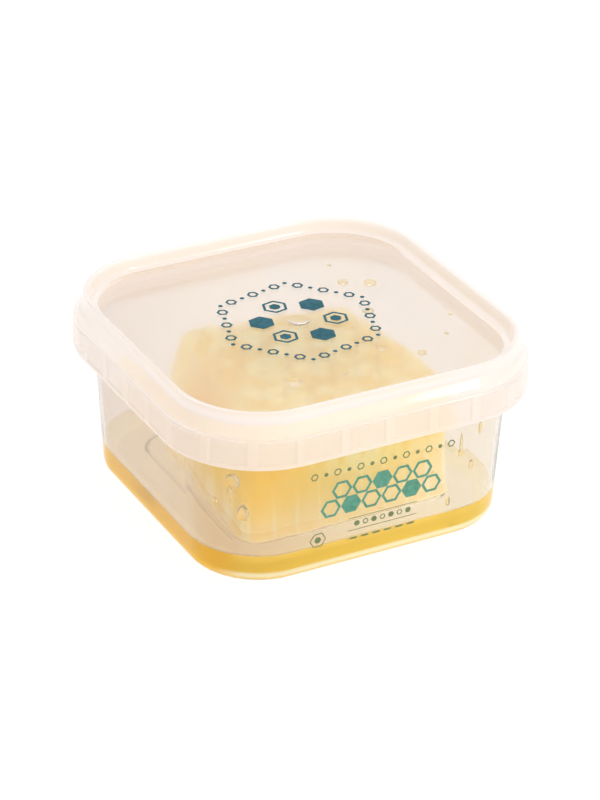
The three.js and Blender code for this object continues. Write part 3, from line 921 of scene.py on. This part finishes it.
bm = bmesh.new()
bm.from_mesh(comb.data)
eased(bm, bm.verts, EASE_PASSES)
bm.normal_update()
depths = bm.verts.layers.float.new(DEPTH_NAME)
for vert in bm.verts:
    point = vert.co / MM
    vert[depths] = cell_depths[cells.find(vert.co)[1]]
    lump = noise.noise(point * LUMPS_PER_MM) * LUMP
    swell = (noise.noise(point * SWELLS_PER_MM) - SWELL_INWARD) * SWELL
    wrinkle = noise.noise(point * WRINKLES_PER_MM + WRINKLE_SHIFT) * WRINKLE
    if point.z > CAPPING_HEIGHT:
        wrinkle *= CAPPING_BOOST
    vert.co += vert.normal * (lump + swell + wrinkle) * MM * RELIEF_SHARE
cut_faces = [v for v in bm.verts if v.co.z < FILL_TOP * MM]
eased(bm, cut_faces, EASE_PASSES)
bm.to_mesh(comb.data)
bm.free()
comb.data.shade_smooth()
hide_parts("comb")
print("comb", [round(v / MM, 1) for v in comb.dimensions])

# %% [markdown]
# ## The pool
# The pool fills the tub's floor up to a level, reaches just into the plastic so that no film of
# air is left between them, and climbs a little where it wets the wall and the comb. It is the
# same sweep, with the comb's hull cut out of it, a little narrower so that no gap opens there.
# After that it is melted to a fine skin. A melt blurs the line of the wall and the step in the
# floor, so the points there are put back on them, and each point near an edge is raised by how
# near it is.

# %% Pool
HONEY_LEVEL, WET = 6.4, 0.2
WELL_WIDTH, WELL_RISE = 0.93, 0.7
MENISCUS, MENISCUS_REACH, MENISCUS_DEPTH = 0.8, 1.1, 1.0
SWAY, SWAYS_PER_MM, SURFACE_PASSES = 0.12, 0.12, 7
POOL_VOXEL, SNAP_REACH = 0.42, 0.15
FACES_DOWN, FACES_UP = -0.4, 0.35

bm, _ = swept(inside_line(-WET, HONEY_LEVEL), TUB_CENTRE, even_runs(TUB_CENTRE))
closed(bm)
pool = piece("honey_pool", bm, honey, honey_edge)
bm = hull_of("comb")
middle = (Vector(comb.bound_box[0]) + Vector(comb.bound_box[6])) / 2
core = bpy.data.objects.new("comb_core", bpy.data.meshes.new("comb_core"))
bmesh.ops.scale(
    bm, verts=bm.verts, vec=(WELL_WIDTH, WELL_WIDTH, 1), space=Matrix.Translation(-middle),
)
bmesh.ops.translate(bm, verts=bm.verts, vec=(0, 0, WELL_RISE * MM))
bm.to_mesh(core.data)
bm.free()
bpy.context.scene.collection.objects.link(core)
cut = pool.modifiers.new("well", "BOOLEAN")
cut.operation, cut.solver, cut.object = "DIFFERENCE", "EXACT", core
applied(pool)
bpy.data.objects.remove(core)
melted(pool, POOL_VOXEL)


def to_wall(point):
    """Distance in mm from a point of the pool to the tub's wall."""
    return max(0.0, wall_at(point.z) - WALL - half_width(point.x, point.y, TUB_CENTRE))


def way_out(x, y, centre):
    """The direction in which the rounded square grows at a point."""
    over = Vector((max(0.0, abs(x) - centre), max(0.0, abs(y) - centre), 0)).normalized()
    return Vector((math.copysign(over.x, x), math.copysign(over.y, y), 0))


bm = bmesh.new()
bm.from_mesh(pool.data)
bm.normal_update()
surface = []
for vert in bm.verts:
    point = vert.co / MM
    out = half_width(point.x, point.y, TUB_CENTRE)
    if vert.normal.z < FACES_DOWN and out < FOOT:
        on_step = clamped((PUSH_UP_HALF + PUSH_UP_STEP - out) / PUSH_UP_STEP)
        vert.co.z = (FLOOR_THICK - WET + PUSH_UP * on_step) * MM
    if point.z > FOOT_ROUND and to_wall(point) < SNAP_REACH:
        short = wall_at(point.z) - WALL + WET - out
        vert.co += way_out(point.x, point.y, TUB_CENTRE) * short * MM
    if point.z < HONEY_LEVEL - MENISCUS_DEPTH:
        continue
    near = min(to_wall(point), outside.find_nearest(vert.co)[3] / MM)
    share = clamped((point.z - HONEY_LEVEL + MENISCUS_DEPTH) / MENISCUS_DEPTH)
    sway = noise.noise(Vector((point.x, point.y, 0)) * SWAYS_PER_MM) * SWAY
    vert.co.z += MENISCUS * math.exp(-near / MENISCUS_REACH) * share * MM
    vert.co.z += sway * share * MM
    surface.append(vert)
eased(bm, surface, SURFACE_PASSES, sideways=False)
bm.normal_update()
for face in bm.faces:
    point = face.calc_center_median() / MM
    outer = half_width(point.x, point.y, TUB_CENTRE) > FOOT - 0.3
    face.material_index = int(outer and face.normal.z < FACES_UP)
bm.to_mesh(pool.data)
bm.free()
pool.data.shade_smooth()
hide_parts("honey")
print("pool", len(pool.data.polygons), "faces")

# %% [markdown]
# ## Drops
# The pack has been tipped, so honey clings under the lid and inside the walls as drops and short
# runs. A drop is a ball pressed flat against what it clings to and heavier at its lower end. It
# could be sculpted, but a few are seen at a time and each is only millimetres wide, so each ball
# is pulled to its own width, length and thickness by one rule. Every drop sinks a little way
# into the plastic, as the pool does, so that no film of air is left under it.

# %% Drops
DROP_SINK, DROP_DETAIL = 0.35, 3
RUN_FROM, LIGHT_END, HEAVIER = 1.2, 0.72, 0.5
UNEVEN, UNEVEN_SPOTS = 0.16, 2.2
LID_RUN, LID_STRETCH = Vector((0.6, -0.8, 0)), 1.1
# The thickness of a drop of no width, and how much each mm of width adds.
LID_THICK, WALL_THICK = (0.5, 0.3), (0.6, 0.25)
# Under the lid: x, y and width. On the walls: x, y, z, width and length.
LID_DROPS = (
    (-12.9, -22.3, 3.4), (10.1, -17.7, 2.0), (16.5, -23.2, 1.8), (18.6, 20.8, 0.9),
    (17.4, 12.5, 2.2), (22.6, 9.9, 2.8), (15.7, -1.7, 2.4), (-2.0, -23.9, 1.3),
    (30.3, -11.0, 0.9), (25.3, -18.1, 1.0),
)
WALL_DROPS = (
    (-31.0, -30.5, 24.3, 3.2, 3.4), (-31.1, -30.1, 21.4, 1.3, 4.2), (-29.1, -31.7, 17.1, 2.6, 4.0),
    (-33.1, -27.2, 18.9, 1.0, 1.7), (19.3, -35.2, 20.7, 1.3, 1.9), (19.2, -35.3, 23.0, 0.6, 5.2),
    (22.1, -34.8, 17.1, 1.1, 2.2), (23.8, -34.9, 25.6, 0.8, 3.6), (12.5, -35.1, 17.6, 1.3, 1.8),
    (17.1, -34.6, 9.4, 1.0, 2.4),
)


def drop(bm, centre, inward, down, width, length, thickness):
    """Adds one drop: a ball flattened along inward, drawn out along down and heavier there."""
    thick = thickness[0] + width * thickness[1]
    side = inward.cross(down)
    ball = bmesh.ops.create_icosphere(bm, subdivisions=DROP_DETAIL, radius=0.5)["verts"]
    is_run = length > width * RUN_FROM
    for vert in ball:
        across, along, out = vert.co
        heavy = LIGHT_END + HEAVIER * (along + 0.5) if is_run else 1.0
        uneven = 1 + UNEVEN * noise.noise(vert.co * UNEVEN_SPOTS + centre)
        local = side * across * width * heavy * uneven + down * along * length
        local += inward * out * thick * heavy
        vert.co = (centre + local + inward * (thick * 0.5 - DROP_SINK)) * MM


bm = bmesh.new()
for x, y, width in LID_DROPS:
    hanging = Vector((x, y, PANEL - LID_WALL))
    drop(bm, hanging, Vector((0, 0, -1)), LID_RUN, width, width * LID_STRETCH, LID_THICK)
for x, y, z, width, length in WALL_DROPS:
    corner = Vector([max(-TUB_CENTRE, min(TUB_CENTRE, v)) for v in (x, y)] + [0])
    outward = (Vector((x, y, 0)) - corner).normalized()
    if abs(x) < TUB_CENTRE:
        outward = Vector((0, math.copysign(1, y), 0))
    inward = (-outward + Vector((0, 0, DRAFT))).normalized()
    down = (Vector((0, 0, -1)) - outward * DRAFT).normalized()
    reach = half_width(x, y, TUB_CENTRE) - (wall_at(z) - WALL)
    centre = Vector((x, y, z)) - outward * reach
    drop(bm, centre, inward, down, width, length, WALL_THICK)
bmesh.ops.recalc_face_normals(bm, faces=bm.faces)
drops = piece("honey_drops", bm, honey_drop)
print("drops", len(LID_DROPS) + len(WALL_DROPS), "faces", len(drops.data.polygons))

# %% [markdown]
# ## Ink
# The lid and the front wall are printed. The print here is a plain honeycomb pattern: hexagons,
# dots and rules. Ink on plastic is a film, so each mark is a flat hexagon, filled or hollow,
# pulled up by a few hundredths of a millimetre. A film could be painted into the plastic's own
# finish instead, but then its edges would be as soft as the pattern that draws them. Screen
# print is opaque and slightly uneven, which a fine mottle gives.

# %% Ink finishes
INK_THICK, INK_SINK = 0.05, 0.02
INK_WEAR, INK_CONTRAST = 900.0, 2.4


def ink(name, dark, light):
    """An opaque printed ink, a little uneven."""
    made, tree, shader = finish(name, Roughness=0.6, IOR=1.3)
    worn = mottled(tree, INK_WEAR, INK_CONTRAST).outputs["Mask"]
    coloured(tree, shader, two_colours(tree, worn, dark, light))
    relief(tree, shader, INK_WEAR, INK_CONTRAST, 0.3, 0.02)
    return made


lid_ink = ink("lid_ink", (0.012, 0.095, 0.125), (0.035, 0.15, 0.20))
green_ink = ink("green_ink", (0.075, 0.25, 0.17), (0.13, 0.34, 0.25))
olive_ink = ink("olive_ink", (0.13, 0.17, 0.07), (0.21, 0.25, 0.12))

# %% Marks
HEXAGON, DOT = 6, 12


def mark(bm, x, y, radius, stroke=None, sides=HEXAGON, turn=0.0):
    """Adds a flat polygon in mm, hollow if it has a stroke."""
    placed = Matrix.Translation((x * MM, y * MM, 0)) @ Matrix.Rotation(turn, 4, "Z")
    ring = bmesh.ops.create_circle(
        bm, cap_ends=True, segments=sides, radius=radius * MM, matrix=placed,
    )["verts"]
    face = ring[0].link_faces[0]
    if stroke:
        bmesh.ops.inset_region(
            bm, faces=[face], thickness=stroke * MM, use_even_offset=True, use_boundary=True,
        )
        bmesh.ops.delete(bm, geom=[face], context="FACES")


def rule(bm, x, y, length, width):
    """Adds a flat bar in mm."""
    placed = Matrix.Translation((x * MM, y * MM, 0)) @ Matrix.Diagonal((length, width, 1, 1))
    bmesh.ops.create_grid(bm, x_segments=1, y_segments=1, size=0.5 * MM, matrix=placed)


def printed(name, bm, matrix, finish_used):
    """Thickens flat marks into a film and lays it on the surface that matrix names."""
    grown = bmesh.ops.extrude_face_region(bm, geom=bm.faces)["geom"]
    fresh = [g for g in grown if isinstance(g, bmesh.types.BMVert)]
    bmesh.ops.translate(bm, verts=fresh, vec=(0, 0, INK_THICK * MM))
    bmesh.ops.recalc_face_normals(bm, faces=bm.faces)
    sunk = matrix @ Matrix.Translation((0, 0, -INK_SINK * MM))
    bmesh.ops.transform(bm, verts=bm.verts, matrix=sunk)
    made = piece(name, bm, finish_used)
    made.data.shade_flat()
    print(name, len(made.data.polygons), "faces")


# %% Print on the lid
RING, RING_TURN, RING_MARKS = 17.6, 12, 6
RING_CELL, RING_DOT, STROKE = 1.3, 0.5, 0.45
FLOWER_REACH, FLOWER_SIZE, FLOWER_TURN = 7.9, 2.9, 42
FLOWER_STROKE, FLOWER_HEART = 1.2, 0.45


def at_angle(angle, reach):
    """A place on the panel by its angle and its distance from the middle."""
    return Vector((math.cos(angle), math.sin(angle), 0)) * reach


bm = bmesh.new()
for side in range(HEXAGON):
    turn = math.radians(60 * side + RING_TURN)
    start = at_angle(turn, RING)
    end = at_angle(math.radians(60 * side + RING_TURN + 60), RING)
    for step in range(RING_MARKS):
        spot = start.lerp(end, step / RING_MARKS)
        if step % 2:
            mark(bm, spot.x, spot.y, RING_CELL, STROKE, turn=turn)
        else:
            mark(bm, spot.x, spot.y, RING_DOT, sides=DOT)
for petal in range(HEXAGON):
    angle = math.radians(60 * petal + FLOWER_TURN)
    spot = at_angle(angle, FLOWER_REACH)
    hollow = STROKE * FLOWER_STROKE if petal % 2 else None
    mark(bm, spot.x, spot.y, FLOWER_SIZE, hollow, turn=angle)
    if hollow:
        mark(bm, spot.x, spot.y, FLOWER_SIZE * FLOWER_HEART, turn=angle)
printed("lid_print", bm, on_panel, lid_ink)

# %% Print on the front wall
PRINT_MIDDLE, UPRIGHT = 15.0, math.pi / 2
lean = math.atan(DRAFT)
wall_axes = Matrix((
    (1, 0, 0),
    (0, -math.sin(lean), math.cos(lean)),
    (0, -math.cos(lean), -math.sin(lean)),
)).transposed().to_4x4()
on_front = Matrix.Translation((0, -wall_at(PRINT_MIDDLE) * MM, PRINT_MIDDLE * MM)) @ wall_axes

CELLS_X, CELLS_Y, CELL_ROWS = 0.6, 0.4, ((1, 5), (0, 6))
CELL_PITCH, CELL_MARK, CELL_STROKE = 4.7, 2.35, 0.55
ROW_PITCH = CELL_PITCH * math.sqrt(3) / 2

bm = bmesh.new()
for row, count in CELL_ROWS:
    for step in range(count):
        x = CELLS_X + (step - (count - 1) / 2) * CELL_PITCH
        stroke = None if (step + 2 * row) % 3 == 1 else CELL_STROKE
        mark(bm, x, CELLS_Y + row * ROW_PITCH, CELL_MARK, stroke, turn=UPRIGHT)
printed("front_print_green", bm, on_front, green_ink)

# A row has the place of its first mark, its pitch and its count.
TOP_ROW, TOP_HOLLOW, TOP_FILLED = ((-15.3, 9.0), 2.65, 13), (0.9, 0.25), (0.5, None)
RULES_X, RULES_Y, RULE_SIZE = 1.2, (-3.3, -6.3), (16.0, 0.14)
SEED_ROW, SEED, SEED_STROKE = ((-4.8, -4.8), 2.0, 7), 0.7, 0.22
DASH_ROW, DASH_SIZE = ((-5.5, -8.3), 2.7, 6), (1.7, 0.45)
SEAL_AT, SEAL, SEAL_STROKE, SEAL_HEART = (-13.8, -6.6), 1.9, 0.2, 0.8


def places(start, pitch, count):
    """The marks of a row: the number, x and y of each."""
    return [(step, start[0] + step * pitch, start[1]) for step in range(count)]


bm = bmesh.new()
for step, x, y in places(*TOP_ROW):
    radius, stroke = TOP_FILLED if step % 2 else TOP_HOLLOW
    mark(bm, x, y, radius, stroke, turn=UPRIGHT)
for y in RULES_Y:
    rule(bm, RULES_X, y, *RULE_SIZE)
for step, x, y in places(*SEED_ROW):
    mark(bm, x, y, SEED, SEED_STROKE if step % 2 else None, turn=UPRIGHT)
for step, x, y in places(*DASH_ROW):
    rule(bm, x, y, *DASH_SIZE)
mark(bm, *SEAL_AT, SEAL, SEAL_STROKE, turn=UPRIGHT)
mark(bm, *SEAL_AT, SEAL_HEART, turn=UPRIGHT)
printed("front_print_olive", bm, on_front, olive_ink)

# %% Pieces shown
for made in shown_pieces():
    print(made.name, len(made.data.polygons))
